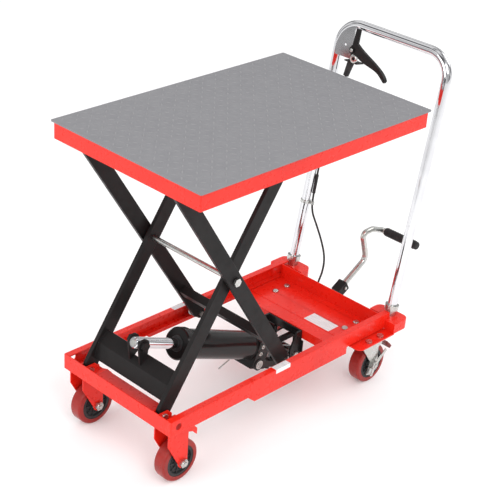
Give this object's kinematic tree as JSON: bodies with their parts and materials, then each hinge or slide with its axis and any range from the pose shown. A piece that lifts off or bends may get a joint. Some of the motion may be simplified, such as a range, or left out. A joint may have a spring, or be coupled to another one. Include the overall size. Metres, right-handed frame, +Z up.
{
  "type": "scissor lift table cart",
  "caption": "Hydraulic scissor lift table cart with a flat rectangular platform, crossed arms, foot pump, push handle with release lever, rear tray, front wheels and braked swivel casters.",
  "frame": {"origin": "on the floor, in the middle of the overall footprint", "axes": "+X to the front of the cart (away from the handle), +Y to the left of a person pushing it, +Z up"},
  "size_m": [0.872, 0.45, 0.808],
  "materials": {
    "red_paint": "glossy red enamel",
    "black_paint": "satin black enamel",
    "chrome": "bright chrome",
    "zinc": "bright zinc plate",
    "grey_mat": "matte grey sheet with raised pattern",
    "red_wheel": "red polyurethane tread",
    "black_hub": "black moulded hub",
    "black_rubber": "matte black rubber",
    "cable_black": "black cable jacket",
    "spring_steel": "bright coil",
    "red_pedal": "dark red moulded cover",
    "grey_plate": "grey plate"
  },
  "bodies": {
    "base": {"side_rails": "red_paint", "rail_flanges": "red_paint", "front_rail": "red_paint", "tray_pan": "red_paint", "corner_brackets": "red_paint", "caster_bolts": "zinc", "rear_caster_plates": "zinc", "handle_tube": "chrome", "handle_collars": "zinc", "handle_gusset": "grey_plate", "lever_mount": "black_paint", "cable_fittings": "zinc", "cable_rubbers": "black_rubber", "release_cable": "cable_black", "front_forks": "red_paint", "front_axles": "zinc", "pump_hanger": "black_paint", "base_pins": "zinc"},
    "inner_frame": {"inner_arms": "black_paint", "inner_cross_members": "black_paint", "rod_lugs": "black_paint", "centre_rod": "zinc", "upper_roller_axles": "zinc"},
    "outer_frame": {"outer_arms": "black_paint", "outer_cross_tube": "black_paint", "lower_roller_axles": "zinc"},
    "platform": {"platform_pan": "red_paint", "platform_mat": "grey_mat", "platform_brackets": "red_paint", "upper_pivot_pins": "zinc", "roller_guides": "red_paint"},
    "pump": {"cylinder_tube": "black_paint", "pump_block": "black_paint", "pump_fittings": "zinc", "pump_spring": "spring_steel"},
    "ram_rod": {"piston_rod": "chrome"},
    "pedal": {"pedal_lever": "black_paint", "pedal_tube": "zinc", "pedal_grip": "black_rubber"},
    "plunger": {"plunger": "zinc"},
    "valve_lever": {"valve_lever": "zinc"},
    "hand_lever": {"hand_lever": "black_paint"},
    "upper_roller_left": {"upper_roller_left": "zinc"},
    "lower_roller_left": {"lower_roller_left": "zinc"},
    "front_wheel_left": {"front_hub_left": "black_hub", "front_tyre_left": "red_wheel"},
    "swivel_left": {"rear_fork_left": "zinc", "rear_axle_left": "zinc"},
    "rear_wheel_left": {"rear_hub_left": "black_hub", "rear_tyre_left": "red_wheel"},
    "brake_left": {"brake_pedal_left": "red_pedal"},
    "upper_roller_right": {"upper_roller_right": "zinc"},
    "lower_roller_right": {"lower_roller_right": "zinc"},
    "front_wheel_right": {"front_hub_right": "black_hub", "front_tyre_right": "red_wheel"},
    "swivel_right": {"rear_fork_right": "zinc", "rear_axle_right": "zinc"},
    "rear_wheel_right": {"rear_hub_right": "black_hub", "rear_tyre_right": "red_wheel"},
    "brake_right": {"brake_pedal_right": "red_pedal"}
  },
  "joints": [
    {"name": "lift", "type": "hinge", "parent": "base", "child": "inner_frame", "pos_m": [0.414, 0, 0.1625], "axis": [0, -1, 0], "range_deg": [0, 51.4]},
    {"name": "scissor", "type": "hinge", "parent": "inner_frame", "child": "outer_frame", "pos_m": [0.23581, 0, 0.431], "axis": [0, -1, 0], "range_deg": [-102.82, 0]},
    {"name": "platform_level", "type": "hinge", "parent": "outer_frame", "child": "platform", "pos_m": [0.414, 0, 0.6995], "axis": [0, -1, 0], "range_deg": [0, 51.42]},
    {"name": "pump_tilt", "type": "hinge", "parent": "base", "child": "pump", "pos_m": [-0.08, 0, 0.081], "axis": [0, -1, 0], "range_deg": [-4.26, 0]},
    {"name": "ram_stroke", "type": "slide", "parent": "pump", "child": "ram_rod", "axis": [0.9244, 0, 0.3815], "range_m": [-0.0904, 0]},
    {"name": "pedal_press", "type": "hinge", "parent": "pump", "child": "pedal", "pos_m": [0.01, 0.014, 0.11], "axis": [0, -1, 0], "range_deg": [0, 8], "stiffness_Nm_per_rad": 20, "springref_deg": -17.19},
    {"name": "plunger_stroke", "type": "slide", "parent": "pump", "child": "plunger", "axis": [0.3815, 0, -0.9244], "range_m": [0, 0.0053], "deforming": ["pump_spring"]},
    {"name": "hand_lever_squeeze", "type": "hinge", "parent": "base", "child": "hand_lever", "pos_m": [-0.37478, -0.096, 0.74423], "axis": [0.9854, 0, 0.1705], "range_deg": [0, 25], "stiffness_Nm_per_rad": 0.8, "springref_deg": -17.19},
    {"name": "valve_turn", "type": "hinge", "parent": "pump", "child": "valve_lever", "pos_m": [-0.04194, -0.033, 0.09887], "axis": [0, -1, 0], "range_deg": [0, 10.1]},
    {"name": "upper_roller_left_roll", "type": "hinge", "parent": "inner_frame", "child": "upper_roller_left", "pos_m": [0.05761, 0.151, 0.6995], "axis": [0, 1, 0], "continuous": true},
    {"name": "lower_roller_left_roll", "type": "hinge", "parent": "outer_frame", "child": "lower_roller_left", "pos_m": [0.05761, 0.163, 0.1625], "axis": [0, 1, 0], "continuous": true},
    {"name": "front_wheel_left_roll", "type": "hinge", "parent": "base", "child": "front_wheel_left", "pos_m": [0.385, 0.14, 0.05], "axis": [0, 1, 0], "continuous": true},
    {"name": "swivel_left_turn", "type": "hinge", "parent": "base", "child": "swivel_left", "pos_m": [-0.206, 0.153, 0.124], "axis": [0, 0, 1], "continuous": true},
    {"name": "rear_wheel_left_roll", "type": "hinge", "parent": "swivel_left", "child": "rear_wheel_left", "pos_m": [-0.235, 0.153, 0.05], "axis": [0, 1, 0], "continuous": true},
    {"name": "brake_left_press", "type": "hinge", "parent": "swivel_left", "child": "brake_left", "pos_m": [-0.252, 0.153, 0.108], "axis": [0, -1, 0], "range_deg": [0, 6]},
    {"name": "upper_roller_right_roll", "type": "hinge", "parent": "inner_frame", "child": "upper_roller_right", "pos_m": [0.05761, -0.151, 0.6995], "axis": [0, 1, 0], "continuous": true},
    {"name": "lower_roller_right_roll", "type": "hinge", "parent": "outer_frame", "child": "lower_roller_right", "pos_m": [0.05761, -0.163, 0.1625], "axis": [0, 1, 0], "continuous": true},
    {"name": "front_wheel_right_roll", "type": "hinge", "parent": "base", "child": "front_wheel_right", "pos_m": [0.385, -0.14, 0.05], "axis": [0, 1, 0], "continuous": true},
    {"name": "swivel_right_turn", "type": "hinge", "parent": "base", "child": "swivel_right", "pos_m": [-0.206, -0.153, 0.124], "axis": [0, 0, 1], "continuous": true},
    {"name": "rear_wheel_right_roll", "type": "hinge", "parent": "swivel_right", "child": "rear_wheel_right", "pos_m": [-0.235, -0.153, 0.05], "axis": [0, 1, 0], "continuous": true},
    {"name": "brake_right_press", "type": "hinge", "parent": "swivel_right", "child": "brake_right", "pos_m": [-0.252, -0.153, 0.108], "axis": [0, -1, 0], "range_deg": [0, 6]}
  ],
  "couplings": [
    {"joint": "scissor", "follows": "lift", "ratio": -2},
    {"joint": "platform_level", "follows": "lift", "ratio": 1},
    {"joint": "pump_tilt", "follows": "lift", "ratio": -0.082476},
    {"joint": "ram_stroke", "follows": "lift", "m_per_rad": -0.10063},
    {"joint": "plunger_stroke", "follows": "pedal_press", "m_per_rad": 0.037},
    {"joint": "valve_turn", "follows": "hand_lever_squeeze", "ratio": 0.4}
  ]
}
